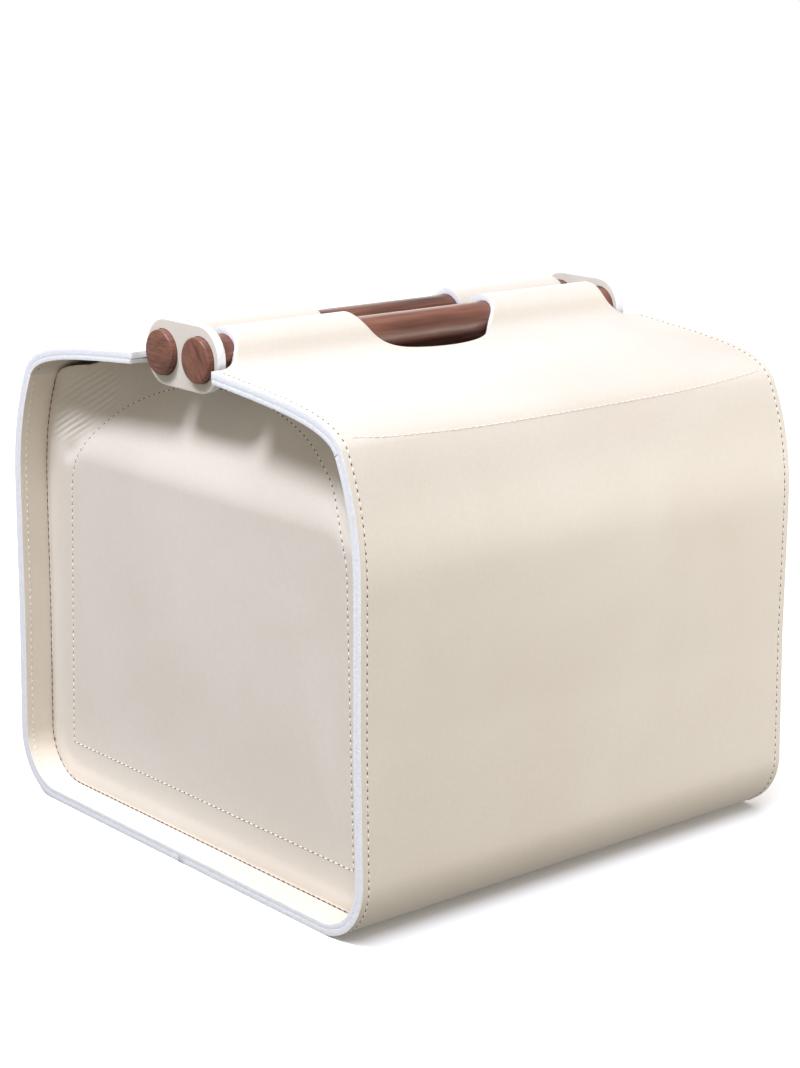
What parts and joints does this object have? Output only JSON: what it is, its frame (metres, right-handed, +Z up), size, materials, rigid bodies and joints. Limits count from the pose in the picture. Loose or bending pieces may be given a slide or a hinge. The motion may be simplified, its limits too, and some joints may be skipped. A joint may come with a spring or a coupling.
{
  "type": "knitting bag",
  "caption": "Boxy leather knitting bag: a thick wrap closing over two walnut rods, recessed end panels, oval grip openings and link plates holding the rods.",
  "frame": {"origin": "centre of the flat bottom", "axes": "+X along the rods, -Y the front wall, +Z up"},
  "size_m": [0.315, 0.3228, 0.3016],
  "materials": {
    "outer_leather": "smooth matt vegetable-tanned hide, ivory",
    "lining_leather": "fine suede-like reverse, warm cream",
    "panel_leather": "smooth soft hide, ivory",
    "link_leather": "smooth matt hide with painted edge",
    "walnut": "satin oiled walnut",
    "board": "bonded leather board"
  },
  "bodies": {
    "bag": {"wrap_leather": "outer_leather", "wrap_lining": "lining_leather", "near_gusset_flange": "lining_leather", "far_gusset_flange": "lining_leather", "near_end_panel": "panel_leather", "far_end_panel": "panel_leather", "near_panel_backing": "lining_leather", "far_panel_backing": "lining_leather", "base_board": "board"},
    "front_flap": {"front_flap": "outer_leather", "front_flap_turn_back": "lining_leather"},
    "rear_flap": {"rear_flap": "outer_leather", "rear_flap_turn_back": "lining_leather"},
    "front_rod": {"front_rod": "walnut"},
    "rear_rod": {"rear_rod": "walnut"},
    "near_link": {"near_link": "link_leather"},
    "far_link": {"far_link": "link_leather"}
  },
  "joints": [
    {"name": "front_flap_opens", "type": "hinge", "parent": "bag", "child": "front_flap", "pos_m": [0, -0.1446, 0.2566], "axis": [1, 0, 0], "range_deg": [0, 80], "deforming": ["near_link", "far_link"]},
    {"name": "rear_flap_opens", "type": "hinge", "parent": "bag", "child": "rear_flap", "pos_m": [0, 0.1446, 0.2566], "axis": [-1, 0, 0], "range_deg": [0, 80], "deforming": ["near_link", "far_link"]},
    {"name": "front_rod_turns", "type": "hinge", "parent": "front_flap", "child": "front_rod", "pos_m": [0, -0.01645, 0.2836], "axis": [1, 0, 0], "continuous": true},
    {"name": "rear_rod_turns", "type": "hinge", "parent": "rear_flap", "child": "rear_rod", "pos_m": [0, 0.01645, 0.2836], "axis": [1, 0, 0], "continuous": true},
    {"name": "near_link_pulls_off", "type": "slide", "parent": "rear_flap", "child": "near_link", "axis": [-1, 0, 0], "range_m": [0, 0.012]},
    {"name": "far_link_pulls_off", "type": "slide", "parent": "rear_flap", "child": "far_link", "axis": [1, 0, 0], "range_m": [0, 0.012]}
  ]
}
